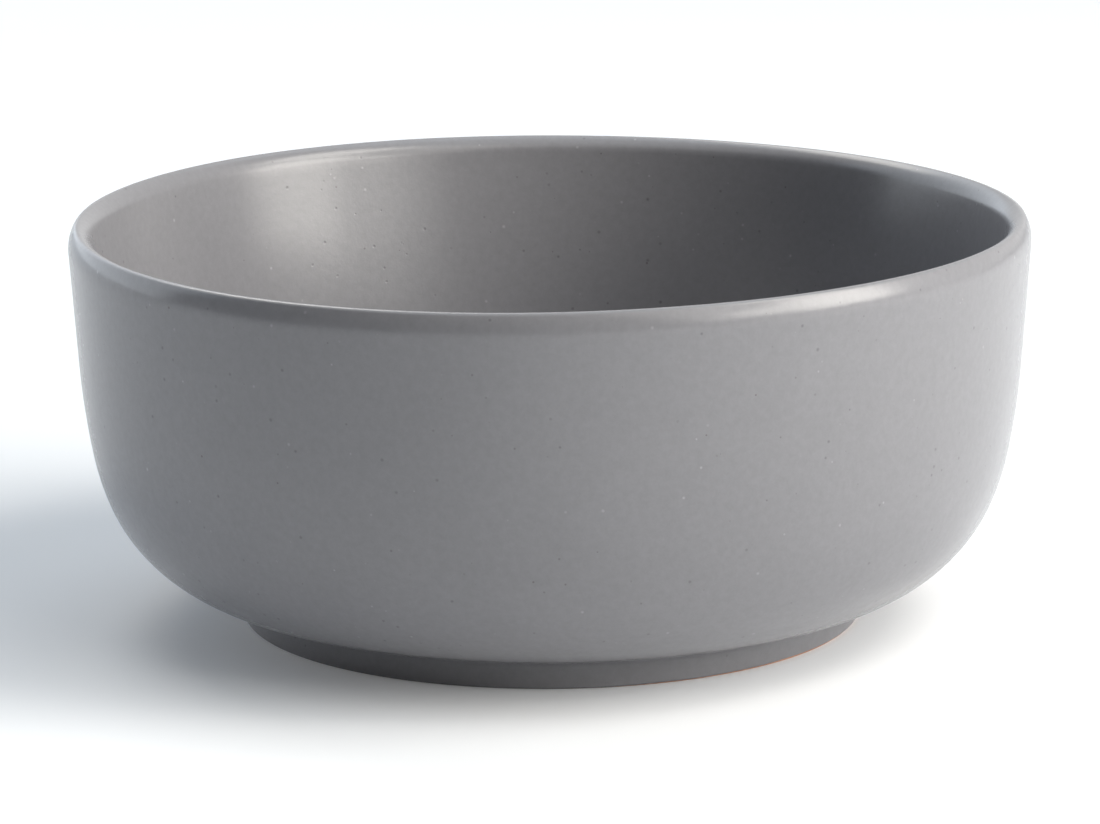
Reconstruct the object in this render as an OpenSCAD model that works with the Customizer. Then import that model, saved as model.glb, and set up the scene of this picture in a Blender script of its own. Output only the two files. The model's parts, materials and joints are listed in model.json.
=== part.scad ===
// Glazed stoneware bowl, turned about the Z axis and standing on Z = 0.
// The clay body carries the shape. A coat of glaze is fused over its outside, lip and
// inside, and a second field of glaze fills the recess under it. The foot ring between
// the two is bare clay. Each outline is drawn in the plane of radius and height.

/* [Bowl] */
// Widest diameter, over the glaze just below the lip
rim_d = 152; // [136:1:176]
// Height from the table to the crest of the lip, over the glaze
bowl_h = 64; // [56:1:84]
// Thickness of the clay just below the lip
wall_t = 3; // [2.4:0.1:4.5]
// Lean of the outside of the wall away from the axis, in degrees
wall_lean = 4.1; // [2.5:0.1:6]
// Lean of the inside of the wall, in degrees: what it has more thickens the wall downwards
inner_lean = 10.5; // [7:0.5:12]
// Thickness of the clay in the middle of the floor
floor_t = 5; // [4:0.1:8]
// Diameter of the floor inside, up to where it turns into the wall
floor_d = 98; // [84:1:106]
// Slope of the dished floor at its edge, in degrees
floor_slope = 2.5; // [1:0.5:5]

/* [Turn below the wall] */
// Radius of the long curve under the straight wall, over the glaze
bow_r = 124; // [80:1:170]
// Slope at which that curve meets the flank, in degrees
bow_slope = 79; // [76:0.5:82]
// Radius of the flank curve, over the glaze
flank_r = 39; // [30:1:60]
// Slope at which the flank meets the tight turn, in degrees
flank_slope = 67.5; // [60:0.5:72]
// Radius of the flank curve inside, of the clay
inner_flank_r = 60; // [30:1:90]
// Slope of the underside where it leaves the foot, in degrees
under_slope = 12; // [6:0.5:16]
// Length of the straight underside between the foot and the turn
under_run = 2.4; // [1:0.1:5]

/* [Lip] */
// Radius of the outer curve of the lip, over the glaze
lip_outer_r = 6; // [4:0.5:8]
// Turn of that curve past upright, in degrees
lip_outer_turn = 30; // [20:1:36]
// Radius of the crest of the lip, over the glaze
lip_crest_r = 0.8; // [0.7:0.1:1.2]
// Turn of the crest past level, in degrees
lip_crest_turn = 25; // [15:1:35]

/* [Foot] */
// Outer diameter of the foot ring, bare clay
foot_d = 97.6; // [86:0.2:106]
// Width of the foot ring
foot_w = 5; // [4:0.5:8]
// Height of the foot ring outside, up to where the underside starts
foot_h = 5; // [3.6:0.1:7]
// Radius of the hollow fillet between the foot ring and the underside
foot_fillet_r = 1.5; // [0.8:0.1:2]
// Radius of the two edges of the standing face
foot_edge_r = 0.4; // [0.2:0.1:0.4]
// Depth of the recess inside the foot ring
recess_h = 4.8; // [4.4:0.1:6]
// Radius of the fillet round the recess
recess_fillet_r = 2; // [1:0.1:3]

/* [Glaze] */
// Thickness of the glaze
glaze_t = 0.4; // [0.2:0.05:0.6]
// Height of the bare clay outside the foot ring
bare_h = 0.5; // [0.5:0.1:1.4]
// Height of the bare clay inside the foot ring
bare_inner_h = 1; // [0.8:0.1:1.5]

/* [Hidden] */
clay_colour = [0.64, 0.43, 0.32];
glaze_colour = [0.57, 0.57, 0.59];
underside_colour = [0.54, 0.54, 0.56];
// Facets of the turned form, and how far a facet of an arc may stray from the arc
turn_facets = 180;
arc_error = 0.008;

// Headings are in degrees: 0 runs outwards, 90 up, 180 inwards and 270 down
wall_heading = 90 - wall_lean;
inner_heading = 90 - inner_lean;
lip_outer_end = 90 + lip_outer_turn;
lip_crest_end = 180 + lip_crest_turn;
foot_r = foot_d / 2;
recess_r = foot_r - foot_w;
floor_r = floor_d / 2;
floor_dish_r = floor_r / sin(floor_slope);

// Radii of the clay under the glaze
clay_bow_r = bow_r - glaze_t;
clay_flank_r = flank_r - glaze_t;
clay_lip_r = lip_outer_r - glaze_t;
clay_crest_r = lip_crest_r - glaze_t;

// How far an arc that turns from one heading to another moves across a wall
function across(a, b) = cos(a - wall_heading) - cos(b - wall_heading);
// The lip's inner curve takes up what the wall's thickness leaves
clay_lip_inner_r = (wall_t - clay_lip_r * across(wall_heading, lip_outer_end)
    - clay_crest_r * across(lip_outer_end, lip_crest_end))
    / across(lip_crest_end, inner_heading + 180);

// The move made by an arc of radius r that turns from heading a to heading b
function turned(r, a, b) = r * [sin(b) - sin(a), cos(a) - cos(b)];
// The move made by a straight run
function run(length, a) = length * [cos(a), sin(a)];

lip_start = [rim_d / 2 - glaze_t, bowl_h - glaze_t]
    - [turned(clay_lip_r, wall_heading, 90).x, turned(clay_lip_r, wall_heading, lip_outer_end).y
        + turned(clay_crest_r, lip_outer_end, 180).y];
lip_end = lip_start + turned(clay_lip_r, wall_heading, lip_outer_end)
    + turned(clay_crest_r, lip_outer_end, lip_crest_end)
    + turned(clay_lip_inner_r, lip_crest_end, inner_heading + 180);
under_start = [foot_r, foot_h] + [turned(-foot_fillet_r, 90, under_slope).x, 0];
turn_start = under_start + run(under_run, under_slope);
floor_edge = [floor_r, recess_h + floor_t + turned(floor_dish_r, 0, floor_slope).y];

// The tight turn and the straight wall are sized so that together they move by "gap", where
// the turn starts at one slope and the wall runs at a heading. The result is the radius of
// the one and the length of the other.
function side_fit(gap, slope, heading) =
    let (t = turned(1, slope, flank_slope), w = run(1, heading))
    [cross(gap, w), cross(t, gap)] / cross(t, w);

outside = side_fit(lip_start - turn_start - turned(clay_flank_r, flank_slope, bow_slope)
    - turned(clay_bow_r, bow_slope, wall_heading), under_slope, wall_heading);
inside = side_fit(lip_end - floor_edge - turned(inner_flank_r, flank_slope, inner_heading),
    floor_slope, inner_heading);

// A path is a list of [radius, height, heading]. A move of one number runs straight for
// that length. A move of two turns on that radius, minus for a right turn, to a heading.
function end(path) = path[len(path) - 1];
function arc_steps(r, turn) = ceil(abs(turn) / (2 * acos(1 - arc_error / abs(r))));
function straight(path, length) = let (p = end(path))
    concat(path, [[each [p.x, p.y] + run(length, p.z), p.z]]);
function bend(path, r, heading) = let (p = end(path), n = arc_steps(r, heading - p.z))
    concat(path, [for (i = [1:n]) let (a = p.z + (heading - p.z) * i / n)
        [each [p.x, p.y] + turned(r, p.z, a), a]]);
function trace(path, moves, i = 0) = i == len(moves) ? path
    : trace(len(moves[i]) == 1 ? straight(path, moves[i][0]) : bend(path, moves[i][0], moves[i][1]),
        moves, i + 1);

// The recess under the bowl, from the axis to the foot ring's bare clay
recess_path = trace([[0, recess_h, 0]], [
    [recess_r - recess_fillet_r],
    [-recess_fillet_r, -90],
    [recess_h - recess_fillet_r - bare_inner_h - glaze_t],
    [glaze_t]]);
// The bare clay of the foot ring, from its inside over the standing face
bare_path = trace([[recess_r, bare_inner_h, -90]], [
    [bare_inner_h - foot_edge_r],
    [foot_edge_r, 0],
    [foot_w - 2 * foot_edge_r],
    [foot_edge_r, 90],
    [bare_h - foot_edge_r]]);
// The glazed clay, from the foot up the outside, over the lip and down to the floor
glazed_path = trace([[foot_r, bare_h, 90]], [
    [glaze_t],
    [foot_h - bare_h - glaze_t - turned(-foot_fillet_r, 90, under_slope).y],
    [-foot_fillet_r, under_slope],
    [under_run],
    [outside[0], flank_slope],
    [clay_flank_r, bow_slope],
    [clay_bow_r, wall_heading],
    [outside[1]],
    [clay_lip_r, lip_outer_end],
    [clay_crest_r, lip_crest_end],
    [clay_lip_inner_r, inner_heading + 180],
    [inside[1]],
    [-inner_flank_r, flank_slope + 180],
    [-inside[0], floor_slope + 180],
    [-floor_dish_r, 180]]);

// The points of a path from number "from" to number "to", moved out of the clay by "out"
function points(path, out = 0, from = 0, to = -1) =
    [for (i = [from:to < 0 ? len(path) - 1 : to])
        [max(0, path[i].x + out * sin(path[i].z)), path[i].y - out * cos(path[i].z)]];
function reversed(list) = [for (i = [len(list) - 1:-1:0]) list[i]];

module turned_solid(outline) {
    rotate_extrude($fn = turn_facets) polygon(outline);
}

// The fired clay: wall, lip, floor and foot ring in one piece
module clay_body() {
    color(clay_colour)
    turned_solid(concat(points(recess_path), points(bare_path, from = 1), points(glazed_path, from = 1)));
}

// The coat of glaze, which ends in a round roll above the foot ring's bare clay
module glaze_coat() {
    roll = points(trace([[foot_r, bare_h, 0]], [[glaze_t, 90]]), from = 1);
    color(glaze_colour)
    turned_solid(concat(roll, points(glazed_path, out = glaze_t, from = 2), reversed(points(glazed_path))));
}

// The glaze in the recess, which ends in a like roll on the foot ring's inside
module underside_glaze() {
    roll = points(trace([[recess_r - glaze_t, bare_inner_h + glaze_t, -90]], [[glaze_t, 0]]), from = 1);
    skin = points(recess_path, out = glaze_t, to = len(recess_path) - 2);
    clay = points(recess_path, to = len(recess_path) - 2);
    color(underside_colour)
    turned_solid(concat(skin, roll, reversed(clay)));
}

clay_body();
glaze_coat();
underside_glaze();
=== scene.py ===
import json
from math import atan2, ceil, cos, pi, radians, sin, sqrt

import bmesh
import bpy
from mathutils import Euler, Matrix, Vector, noise


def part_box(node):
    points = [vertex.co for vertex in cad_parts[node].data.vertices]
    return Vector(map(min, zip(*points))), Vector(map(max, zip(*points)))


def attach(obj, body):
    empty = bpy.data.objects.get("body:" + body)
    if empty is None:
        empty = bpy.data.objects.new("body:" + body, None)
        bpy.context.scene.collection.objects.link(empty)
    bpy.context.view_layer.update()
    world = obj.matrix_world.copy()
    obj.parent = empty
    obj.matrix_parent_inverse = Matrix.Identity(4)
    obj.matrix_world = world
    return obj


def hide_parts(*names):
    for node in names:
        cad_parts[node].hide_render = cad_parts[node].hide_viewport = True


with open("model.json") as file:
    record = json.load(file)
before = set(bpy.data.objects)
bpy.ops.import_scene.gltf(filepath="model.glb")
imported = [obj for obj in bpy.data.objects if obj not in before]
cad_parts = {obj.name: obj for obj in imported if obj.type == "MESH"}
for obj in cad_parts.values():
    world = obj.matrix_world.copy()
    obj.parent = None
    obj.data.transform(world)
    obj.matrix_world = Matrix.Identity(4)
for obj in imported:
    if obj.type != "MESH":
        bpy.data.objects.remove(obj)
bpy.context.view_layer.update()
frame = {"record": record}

mm = 0.001

# Camera. It stands almost a metre in front of the bowl with a long lens, a little above the
# rim, and leans very slightly to one side.
camera_distance = 988 * mm
camera_elevation = radians(12.857)
camera_roll = radians(-0.375)
camera_aim = Vector((-0.14 * mm, 0, 32.33 * mm))

camera_data = bpy.data.cameras.new("camera")
camera_data.lens = 203.09
camera_data.sensor_width = 36
camera_data.clip_start = 0.05
camera_data.clip_end = 20
camera = bpy.data.objects.new("camera", camera_data)
bpy.context.scene.collection.objects.link(camera)
bpy.context.scene.camera = camera
camera_tilt = Euler((pi / 2 - camera_elevation, 0, 0)).to_matrix()
camera_turn = camera_tilt @ Matrix.Rotation(camera_roll, 3, "Z")
camera.location = camera_aim + camera_turn @ Vector((0, 0, camera_distance))
camera.rotation_euler = camera_turn.to_euler()
bpy.context.scene.view_settings.view_transform = "Standard"


# Clay body. One piece of stoneware clay, formed on the wheel, trimmed to a low foot ring and
# fired. Only the foot ring's standing face and its edges stay bare under the glaze.
clay_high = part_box("clay_body")[1]
coat_low, coat_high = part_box("glaze_coat")
under_low, under_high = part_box("underside_glaze")

glaze_t = coat_high.x - clay_high.x
rim_r = clay_high.x
crest_h = clay_high.z
recess_r = under_high.x
recess_h = under_high.z
foot_r = 2 * frame["record"]["mounts"][0]["pos_m"][0] - recess_r
bare_h = coat_low.z
bare_inner_h = under_low.z

wall_t = 3 * mm
floor_t = 5 * mm
floor_r = 49 * mm
foot_h = 5 * mm
foot_fillet_r = 1.5 * mm
foot_edge_r = 0.4 * mm
recess_fillet_r = 2 * mm
under_run = 2.4 * mm
bow_r = 124 * mm - glaze_t
flank_r = 39 * mm - glaze_t
inner_flank_r = 60 * mm
lip_outer_r = 6 * mm - glaze_t
lip_crest_r = 0.8 * mm - glaze_t

# Headings of the outline in degrees: 0 runs outwards, 90 up, 180 inwards and 270 down
floor_slope = 2.5
under_slope = 12
flank_slope = 67.5
bow_slope = 79
wall_slope = 85.9
inner_slope = 79.5
lip_outer_slope = 120
lip_crest_slope = 205


def turned(radius, start, end):
    """The move, in radius and height, made by an arc that turns from one heading to another."""
    a, b = radians(start), radians(end)
    return radius * Vector((sin(b) - sin(a), cos(a) - cos(b)))


def straight(length, heading):
    """The move, in radius and height, made by a straight run."""
    return length * Vector((cos(radians(heading)), sin(radians(heading))))


def fit_side(gap, start_slope, heading):
    """Radius of the tight turn and length of the straight wall that together move by the gap."""
    turn, wall = turned(1, start_slope, flank_slope), straight(1, heading)
    return Matrix(((turn.x, wall.x), (turn.y, wall.y))).inverted() @ gap


def across_wall(start, end):
    """How far an arc of radius 1 moves square to the straight wall, towards the axis."""
    return -turned(1, start, end).dot(straight(1, wall_slope - 90))


lip_inner_r = (
    wall_t
    - lip_outer_r * across_wall(wall_slope, lip_outer_slope)
    - lip_crest_r * across_wall(lip_outer_slope, lip_crest_slope)
) / across_wall(lip_crest_slope, inner_slope + 180)
lip_outside = turned(lip_outer_r, wall_slope, lip_outer_slope)
lip_crest = turned(lip_crest_r, lip_outer_slope, lip_crest_slope)
lip_start = Vector((
    rim_r - turned(lip_outer_r, wall_slope, 90).x,
    crest_h - lip_outside.y - turned(lip_crest_r, lip_outer_slope, 180).y,
))
lip_inside = turned(lip_inner_r, lip_crest_slope, inner_slope + 180)
lip_end = lip_start + lip_outside + lip_crest + lip_inside
fillet = turned(-foot_fillet_r, 90, under_slope)
under_start = Vector((foot_r + fillet.x, foot_h)) + straight(under_run, under_slope)
floor_dish_r = floor_r / sin(radians(floor_slope))
floor_edge = Vector((floor_r, recess_h + floor_t + turned(floor_dish_r, 0, floor_slope).y))
outer_curves = turned(flank_r, flank_slope, bow_slope) + turned(bow_r, bow_slope, wall_slope)
inner_curves = turned(inner_flank_r, flank_slope, inner_slope)
outer_turn_r, outer_wall = fit_side(lip_start - under_start - outer_curves, under_slope, wall_slope)
inner_turn_r, inner_wall = fit_side(lip_end - floor_edge - inner_curves, floor_slope, inner_slope)


class Outline:
    """A line of edges in the plane of radius (X) and height (Z), drawn on from its tip."""

    def __init__(self, mesh, radius, height, heading, longest, widest=6):
        self.mesh = mesh
        self.tip = mesh.verts.new((radius, 0, height))
        self.heading = heading
        self.longest = longest
        self.widest = widest

    def straight(self, length):
        steps = ceil(length / self.longest)
        move = straight(length / steps, self.heading)
        for _ in range(steps):
            drawn = bmesh.ops.extrude_vert_indiv(self.mesh, verts=[self.tip])
            self.tip = drawn["verts"][0]
            bmesh.ops.translate(self.mesh, verts=[self.tip], vec=(move.x, 0, move.y))

    def bend(self, radius, heading):
        """Turns left to a new heading on a radius, or right where the radius is below zero."""
        turn = heading - self.heading
        steps = ceil(max(abs(turn) / self.widest, abs(radius * radians(turn)) / self.longest))
        side = straight(radius, self.heading + 90)
        drawn = bmesh.ops.spin(
            self.mesh,
            geom=[self.tip],
            cent=self.tip.co + Vector((side.x, 0, side.y)),
            axis=(0, -1, 0),
            angle=radians(turn),
            steps=steps,
        )
        self.tip = next(v for v in drawn["geom_last"] if isinstance(v, bmesh.types.BMVert))
        self.heading = heading


def draw_glazed_side(line, out):
    """From the foot up the outside, over the lip and down to the middle of the floor."""
    line.bend(out - foot_fillet_r, under_slope)
    line.straight(under_run)
    line.bend(outer_turn_r + out, flank_slope)
    line.bend(flank_r + out, bow_slope)
    line.bend(bow_r + out, wall_slope)
    line.straight(outer_wall)
    line.bend(lip_outer_r + out, lip_outer_slope)
    line.bend(lip_crest_r + out, lip_crest_slope)
    line.bend(lip_inner_r + out, inner_slope + 180)
    line.straight(inner_wall)
    line.bend(out - inner_flank_r, flank_slope + 180)
    line.bend(out - inner_turn_r, floor_slope + 180)
    line.bend(out - floor_dish_r, 180)


def turn_solid(mesh, facets):
    """Turns the outlines in the mesh about the axis into one closed solid."""
    bmesh.ops.spin(
        mesh,
        geom=mesh.verts[:] + mesh.edges[:],
        cent=(0, 0, 0),
        axis=(0, 0, 1),
        angle=2 * pi,
        steps=facets,
        use_merge=True,
    )
    bmesh.ops.remove_doubles(mesh, verts=mesh.verts, dist=0.002 * mm)
    bmesh.ops.recalc_face_normals(mesh, faces=mesh.faces)


wall_facets = 240
rim_lean, lean_side = 0.5 * mm, radians(41)
rim_wave, wave_side = 0.36 * mm, radians(106)
wander = 0.03 * mm
wander_scale = 1 / (17 * mm)
wander_seed = 1
noise.seed_set(wander_seed)


def settle(mesh):
    """Moves the form as the kiln did: the rim leans and waves a little, and the wall wanders."""
    for v in mesh.verts:
        height = max(0, min(1, (v.co.z - foot_h) / (crest_h - foot_h)))
        around = atan2(v.co.x, -v.co.y)
        stray = noise.noise_vector(v.co * wander_scale) * wander * height
        rise = rim_lean * cos(around - lean_side) + rim_wave * cos(2 * around - wave_side)
        v.co += stray + Vector((0, 0, rise * height * height))


def add_piece(mesh, name, node, material):
    """Makes the mesh a piece that stands for a CAD node."""
    data = bpy.data.meshes.new(name)
    for face in mesh.faces:
        face.smooth = True
    mesh.to_mesh(data)
    mesh.free()
    data.set_sharp_from_angle(angle=radians(50))
    data.materials.append(material)
    piece = bpy.data.objects.new(name, data)
    bpy.context.scene.collection.objects.link(piece)
    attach(piece, "root")
    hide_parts(node)
    return piece


class Nodes:
    """Adds the nodes of one node tree, each with its settings and inputs, and links them."""

    def __init__(self, tree):
        self.tree = tree

    def add(self, kind, inputs=None, **settings):
        node = self.tree.nodes.new("ShaderNode" + kind)
        for name, value in settings.items():
            setattr(node, name, value)
        for name, value in (inputs or {}).items():
            if isinstance(value, bpy.types.NodeSocket):
                self.tree.links.new(value, node.inputs[name])
            else:
                node.inputs[name].default_value = value
        return node

    def math(self, operation, *values, clamp=False):
        inputs = dict(enumerate(values))
        return self.add("Math", inputs, operation=operation, use_clamp=clamp).outputs[0]

    def mix(self, share, first, second):
        return self.add("Mix", {0: share, 6: first, 7: second}, data_type="RGBA").outputs[2]


def new_group(name, inputs, outputs):
    """A shader node group with named inputs and outputs, and its two end nodes."""
    tree = bpy.data.node_groups.new(name, "ShaderNodeTree")
    for label, default in inputs.items():
        kind = "NodeSocketVector" if default is None else "NodeSocketFloat"
        socket = tree.interface.new_socket(label, in_out="INPUT", socket_type=kind)
        if default is not None:
            socket.default_value = default
    for label in outputs:
        tree.interface.new_socket(label, in_out="OUTPUT", socket_type="NodeSocketFloat")
    nodes = Nodes(tree)
    return nodes, tree.nodes.new("NodeGroupInput").outputs, tree.nodes.new("NodeGroupOutput").inputs


def new_material(name):
    material = bpy.data.materials.new(name)
    material.use_nodes = True
    material.node_tree.nodes.clear()
    return material, Nodes(material.node_tree)


# Specks: small round spots, scattered at random over a given share of cells. A speck's radius is
# half to one and a half times the given one. The mask has a crisp edge, for colour, and the height
# rises evenly to the middle, for relief.
smallest_speck = 0.5
mask_crispness = 3

specks_group, given, result = new_group(
    "specks",
    {"Vector": None, "Cells per metre": 500, "Radius in cells": 0.1, "Share": 0.5},
    ["Mask", "Height"],
)
cells = specks_group.add(
    "TexVoronoi", {"Vector": given["Vector"], "Scale": given["Cells per metre"]})
chance = specks_group.add("SeparateColor", {"Color": cells.outputs["Color"]})
size = specks_group.math("ADD", chance.outputs[0], smallest_speck)
radius = specks_group.math("MULTIPLY", given["Radius in cells"], size)
inside = specks_group.math("SUBTRACT", radius, cells.outputs["Distance"])
inside = specks_group.math("DIVIDE", inside, radius)
chosen = specks_group.math("LESS_THAN", chance.outputs[1], given["Share"])
crisp = specks_group.math("MULTIPLY", inside, mask_crispness, clamp=True)
mask = specks_group.math("MULTIPLY", crisp, chosen)
cone = specks_group.math("MULTIPLY", inside, 1, clamp=True)
height = specks_group.math("MULTIPLY", cone, chosen)
specks_group.tree.links.new(mask, result["Mask"])
specks_group.tree.links.new(height, result["Height"])

# Sand: grain under a surface, from fine noise and a wider one of fewer grains, as a height from 0 to 1
fine_share, wide_share = 0.4, 0.6
wide_grains = 0.31

sand_group, given, result = new_group(
    "sand", {"Vector": None, "Grains per metre": 1500}, ["Height"])
fine_look = {"Scale": given["Grains per metre"], "Detail": 2, "Roughness": 0.6}
fine = sand_group.add("TexNoise", {"Vector": given["Vector"], **fine_look})
wide_scale = sand_group.math("MULTIPLY", given["Grains per metre"], wide_grains)
wide = sand_group.add("TexNoise", {"Vector": given["Vector"], "Scale": wide_scale, "Detail": 1})
fine_part = sand_group.math("MULTIPLY", fine.outputs[0], fine_share)
wide_part = sand_group.math("MULTIPLY", wide.outputs[0], wide_share)
sand_group.tree.links.new(sand_group.math("ADD", fine_part, wide_part), result["Height"])


def place_group(nodes, group, inputs, result):
    """Places a group in a material with its own values, and gives one of its results."""
    return nodes.add("Group", inputs, node_tree=group.tree).outputs[result]


def place_specks(nodes, place, cells, radius, share, result):
    """Specks by their cells to a metre, their radius in cells and the share of cells with one."""
    inputs = {"Vector": place, "Cells per metre": cells, "Radius in cells": radius, "Share": share}
    return place_group(nodes, specks_group, inputs, result)


clay_material, clay_nodes = new_material("bare stoneware")
place = clay_nodes.add("TexCoord").outputs["Object"]
grit = place_group(clay_nodes, sand_group, {"Vector": place, "Grains per metre": 2200}, "Height")
cloud = clay_nodes.add("TexNoise", {"Vector": place, "Scale": 90, "Detail": 2}).outputs[0]
toasted = clay_nodes.mix(cloud, (0.36, 0.17, 0.10, 1), (0.58, 0.33, 0.22, 1))
grog = place_specks(clay_nodes, place, cells=900, radius=0.25, share=0.35, result="Mask")
gritty = clay_nodes.mix(clay_nodes.math("MULTIPLY", grog, 0.6), toasted, (0.68, 0.45, 0.30, 1))
clay_bump = clay_nodes.add("Bump", {"Strength": 0.6, "Distance": 0.15 * mm, "Height": grit})
clay_shader = clay_nodes.add(
    "BsdfPrincipled", {"Base Color": gritty, "Roughness": 0.85, "Normal": clay_bump.outputs[0]})
clay_nodes.add("OutputMaterial", {"Surface": clay_shader.outputs[0]})

body_mesh = bmesh.new()
body_line = Outline(body_mesh, 0, recess_h, 0, longest=3 * mm, widest=15)
body_line.straight(recess_r - recess_fillet_r)
body_line.bend(-recess_fillet_r, -90)
body_line.straight(recess_h - recess_fillet_r - bare_inner_h - glaze_t)
body_line.longest, body_line.widest = 0.4 * mm, 10
body_line.straight(bare_inner_h + glaze_t - foot_edge_r)
body_line.bend(foot_edge_r, 0)
body_line.straight(foot_r - recess_r - 2 * foot_edge_r)
body_line.bend(foot_edge_r, 90)
body_line.straight(foot_h - foot_edge_r - fillet.y)
body_line.longest, body_line.widest = 3 * mm, 10
draw_glazed_side(body_line, 0)
turn_solid(body_mesh, wall_facets)
settle(body_mesh)
add_piece(body_mesh, "stoneware_body", "clay_body", clay_material)


# Glaze coat. The bowl is dipped in a matte grey glaze, which melts into one skin over its outside,
# its lip and its inside. It is wiped off the foot, so it ends in a wavering edge above the table.
cloud_contrast, sand_contrast = 0.08, 0.22
sand_relief = 0.02 * mm
pinhole_depth = 0.03 * mm
pimple_height = 0.02 * mm


def glaze_material(name, colour):
    """Satin grey glaze: faint clouds, fine grain, pinholes with painted shade, pimples with painted
    highlights, a few iron specks.
    """
    material, nodes = new_material(name)
    place = nodes.add("TexCoord").outputs["Object"]
    sand = place_group(nodes, sand_group, {"Vector": place, "Grains per metre": 2600}, "Height")
    cloud = nodes.add("TexNoise", {"Vector": place, "Scale": 45, "Detail": 2}).outputs[0]
    level = nodes.math("MULTIPLY", cloud, cloud_contrast)
    level = nodes.math("ADD", level, nodes.math("MULTIPLY", sand, sand_contrast))
    level = nodes.math("ADD", level, 1 - (cloud_contrast + sand_contrast) / 2)
    shaded = nodes.add("VectorMath", {0: colour, 1: level}, operation="MULTIPLY").outputs[0]
    iron = place_specks(nodes, place, cells=420, radius=0.065, share=0.12, result="Mask")
    pinholes_and_painted_shade = place_specks(nodes, place, cells=480, radius=0.12, share=0.3, result="Height")
    pimples_and_painted_highlight = place_specks(nodes, place, cells=390, radius=0.1, share=0.35, result="Height")
    specked_and_painted_light = nodes.mix(nodes.math("MULTIPLY", iron, 0.5), shaded, (0.07, 0.06, 0.06, 1))
    # Painted shade darkens the pinholes and a painted highlight pales the pimples, on top of the
    # relief that the bump gives them.
    specked_and_painted_light = nodes.mix(nodes.math("MULTIPLY", pinholes_and_painted_shade, 0.6), specked_and_painted_light, (0.07, 0.07, 0.08, 1))
    specked_and_painted_light = nodes.mix(nodes.math("MULTIPLY", pimples_and_painted_highlight, 0.35), specked_and_painted_light, (0.55, 0.55, 0.57, 1))
    relief = nodes.math("MULTIPLY", sand, sand_relief / mm)
    relief = nodes.math("SUBTRACT", relief, nodes.math("MULTIPLY", pinholes_and_painted_shade, pinhole_depth / mm))
    relief = nodes.math("ADD", relief, nodes.math("MULTIPLY", pimples_and_painted_highlight, pimple_height / mm))
    bump = nodes.add("Bump", {"Strength": 1, "Distance": mm, "Height": relief})
    roughness = nodes.math("ADD", 0.2, nodes.math("MULTIPLY", sand, 0.06))
    shader = nodes.add(
        "BsdfPrincipled", {"Base Color": specked_and_painted_light, "Roughness": roughness, "Normal": bump.outputs[0]})
    nodes.add("OutputMaterial", {"Surface": shader.outputs[0]})
    return material


trail_middle, trail_slant = 1.1, 1.6
trail_swell, trail_ripple = 0.5, 0.25
swells_around = 3
ripples_per_metre = 160


def trail_edge(mesh, top, lowest, deepest):
    """Lets the glaze run down the foot unevenly, and on the left round the clay's lower edge."""
    for v in mesh.verts:
        if v.co.z < top:
            around = Vector((v.co.x, v.co.y, 0)).normalized()
            swell = trail_swell * noise.noise(around * swells_around)
            ripple = trail_ripple * noise.noise(v.co * ripples_per_metre)
            share = max(0, min(1, trail_middle - trail_slant * around.x + swell + ripple))
            fade = min(1, (top - v.co.z) / (top - bare_h - glaze_t))
            v.co.z -= (lowest + (deepest - lowest) * share) * fade
            drop = max(0, foot_edge_r - v.co.z)
            v.co -= around * (foot_edge_r - sqrt(foot_edge_r**2 - drop**2))


coat_mesh = bmesh.new()
glaze_line = Outline(coat_mesh, foot_r, bare_h, 0, longest=1.2 * mm, widest=5)
glaze_line.bend(glaze_t, 90)
glaze_line.straight(foot_h - bare_h - glaze_t - fillet.y)
draw_glazed_side(glaze_line, glaze_t)
clay_line = Outline(coat_mesh, foot_r, bare_h, 90, longest=4 * mm, widest=10)
clay_line.straight(foot_h - bare_h - fillet.y)
draw_glazed_side(clay_line, 0)
turn_solid(coat_mesh, wall_facets)
settle(coat_mesh)
trail_edge(coat_mesh, top=2.4 * mm, lowest=0.14 * mm, deepest=0.42 * mm)
add_piece(
    coat_mesh, "grey_glaze_coat", "glaze_coat",
    glaze_material("matte grey glaze", (0.22, 0.22, 0.236)))


# Underside glaze. A second field of the same glaze lies in the recess inside the foot ring, over
# the faint rings that the trimming tool left. The bare ring cuts it off from the first.
trim_pitch = 2.2 * mm
trim_depth = 0.05 * mm
under_facets = 180

under_mesh = bmesh.new()
skin_line = Outline(under_mesh, 0, recess_h - glaze_t, 0, longest=0.45 * mm, widest=10)
skin_line.straight(recess_r - recess_fillet_r)
skin_line.bend(glaze_t - recess_fillet_r, -90)
skin_line.straight(recess_h - recess_fillet_r - bare_inner_h - glaze_t)
skin_line.bend(glaze_t, 0)
seat_line = Outline(under_mesh, 0, recess_h, 0, longest=4 * mm, widest=10)
seat_line.straight(recess_r - recess_fillet_r)
seat_line.bend(-recess_fillet_r, -90)
seat_line.straight(recess_h - recess_fillet_r - bare_inner_h)
turn_solid(under_mesh, under_facets)
for v in under_mesh.verts:
    from_axis = Vector((v.co.x, v.co.y)).length
    if v.co.z < recess_h - 0.5 * glaze_t and from_axis < recess_r - recess_fillet_r:
        turns = from_axis / trim_pitch - atan2(v.co.y, v.co.x) / (2 * pi)
        v.co.z += trim_depth * (0.5 + 0.5 * sin(2 * pi * turns)) * min(1, from_axis / (4 * mm))
add_piece(
    under_mesh, "grey_glaze_underside", "underside_glaze",
    glaze_material("matte grey glaze under the foot", (0.207, 0.207, 0.222)))


# Table. A sheet of white card that the bowl stands on. A faint glow, which only the camera and
# reflections see, makes it white where it is lit and keeps the bowl's soft shadow. Nothing shows
# of it from below.
table_r = 3
table_glow = 0.08

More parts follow.
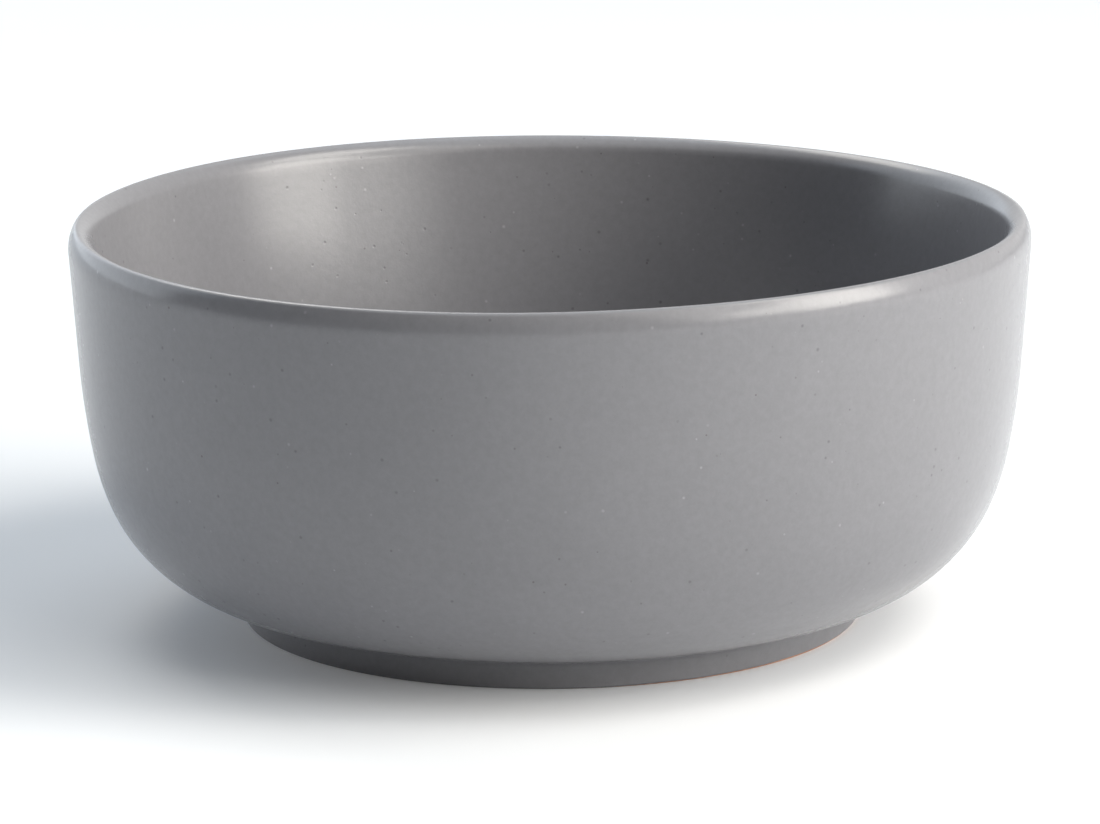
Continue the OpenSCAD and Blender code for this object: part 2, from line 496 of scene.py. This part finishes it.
table_mesh = bmesh.new()
bmesh.ops.create_circle(table_mesh, cap_ends=True, segments=96, radius=table_r)
table_data = bpy.data.meshes.new("table")
table_mesh.to_mesh(table_data)
table_mesh.free()
table = bpy.data.objects.new("table", table_data)
bpy.context.scene.collection.objects.link(table)


def seen_rays(nodes):
    """1 for the rays that see a background: from the camera, from gloss and through clear things."""
    ray = nodes.add("LightPath").outputs
    reflected = nodes.math("MAXIMUM", ray["Is Glossy Ray"], ray["Is Transmission Ray"])
    return nodes.math("MAXIMUM", ray["Is Camera Ray"], reflected)


table_material, table_nodes = new_material("white card")
table_data.materials.append(table_material)
card = table_nodes.add("BsdfDiffuse", {"Color": (0.92, 0.94, 0.97, 1)}).outputs[0]
glow_strength = table_nodes.math("MULTIPLY", seen_rays(table_nodes), table_glow)
glow = table_nodes.add("Emission", {"Color": (1, 1, 1, 1), "Strength": glow_strength}).outputs[0]
card_top = table_nodes.add("AddShader", {0: card, 1: glow}).outputs[0]
from_below = table_nodes.add("NewGeometry").outputs["Backfacing"]
clear = table_nodes.add("BsdfTransparent").outputs[0]
table_seen = table_nodes.add("MixShader", {0: from_below, 1: card_top, 2: clear}).outputs[0]
table_nodes.add("OutputMaterial", {"Surface": table_seen})


# Light. A large soft lamp on the right is brightest in its middle and upper right, and fainter
# ones stand behind, on the left and overhead. Dark felt on the camera's side keeps the front of
# the bowl in shade. The world is white where a ray sees it, and lights little.
warm, cool = (1, 0.965, 0.9), (0.76, 0.88, 1)


def add_lamp(name, azimuth, elevation, distance, width, height, power, colour):
    """
    A rectangular lamp that faces the bowl, by its angles in degrees, its sizes in metres and its
    power in watts. Azimuth 0 is the camera's side, and 90 the right.
    """
    a, e = radians(azimuth), radians(elevation)
    away = Vector((sin(a) * cos(e), -cos(a) * cos(e), sin(e)))
    data = bpy.data.lights.new(name, "AREA")
    data.shape = "RECTANGLE"
    data.size, data.size_y = width, height
    data.energy = power
    data.color = colour
    lamp = bpy.data.objects.new(name, data)
    lamp.location = away * distance + Vector((0, 0, crest_h / 2))
    lamp.rotation_euler = away.to_track_quat("Z", "Y").to_euler()
    lamp.visible_camera = False
    bpy.context.scene.collection.objects.link(lamp)
    return lamp


add_lamp("key", 60, 36, 1.2, 1.44, 1.28, 9.2, warm)
add_lamp("key middle", 72, 22, 1.15, 0.53, 0.62, 8.4, warm)
add_lamp("key upper right", 82, 52, 1.1, 0.51, 0.47, 4.4, warm)
add_lamp("key low left", 50, 19, 1.1, 0.27, 0.27, 1.2, warm)
add_lamp("back left", -128, 22, 1.4, 2.15, 1.13, 8.0, cool)
add_lamp("high back left", -152, 48, 1.35, 0.6, 0.48, 4.0, warm)
low_left = add_lamp("low left", -113, 4, 1.3, 0.82, 0.17, 3.2, warm)
low_left.visible_glossy = False  # it only fills, and shows in no reflection
add_lamp("high back", 180, 60, 1.3, 0.95, 0.7, 2.0, cool)
add_lamp("overhead", 0, 89.9, 1.2, 1, 1, 1.8, cool)

felt_distance = 1.5
felt_low, felt_high = 1 * mm, 1.6
felt_start, felt_turn = radians(-100), radians(134)
felt_x, felt_y = felt_distance * sin(felt_start), -felt_distance * cos(felt_start)

felt_mesh = bmesh.new()
felt_edge = [felt_mesh.verts.new((felt_x, felt_y, z)) for z in (felt_low, felt_high)]
bmesh.ops.spin(
    felt_mesh,
    geom=felt_edge + [felt_mesh.edges.new(felt_edge)],
    cent=(0, 0, 0),
    axis=(0, 0, 1),
    angle=felt_turn,
    steps=24,
)
felt_data = bpy.data.meshes.new("felt")
felt_mesh.to_mesh(felt_data)
felt_mesh.free()
felt_material, felt_nodes = new_material("dark felt")
felt_shader = felt_nodes.add(
    "BsdfPrincipled", {"Base Color": (0.01, 0.01, 0.01, 1), "Roughness": 1})
felt_nodes.add("OutputMaterial", {"Surface": felt_shader.outputs[0]})
felt_data.materials.append(felt_material)
felt = bpy.data.objects.new("felt", felt_data)
felt.visible_camera = False
bpy.context.scene.collection.objects.link(felt)

world = bpy.data.worlds.new("studio")
bpy.context.scene.world = world
world.use_nodes = True
world.node_tree.nodes.clear()
world_nodes = Nodes(world.node_tree)
world_dim = world_nodes.add("Background", {"Color": (0.7, 0.85, 1, 1), "Strength": 0.03}).outputs[0]
world_white = world_nodes.add("Background", {"Color": (1, 1, 1, 1), "Strength": 1}).outputs[0]
world_mix = world_nodes.add(
    "MixShader", {0: seen_rays(world_nodes), 1: world_dim, 2: world_white})
world_nodes.add("OutputWorld", {"Surface": world_mix.outputs[0]})
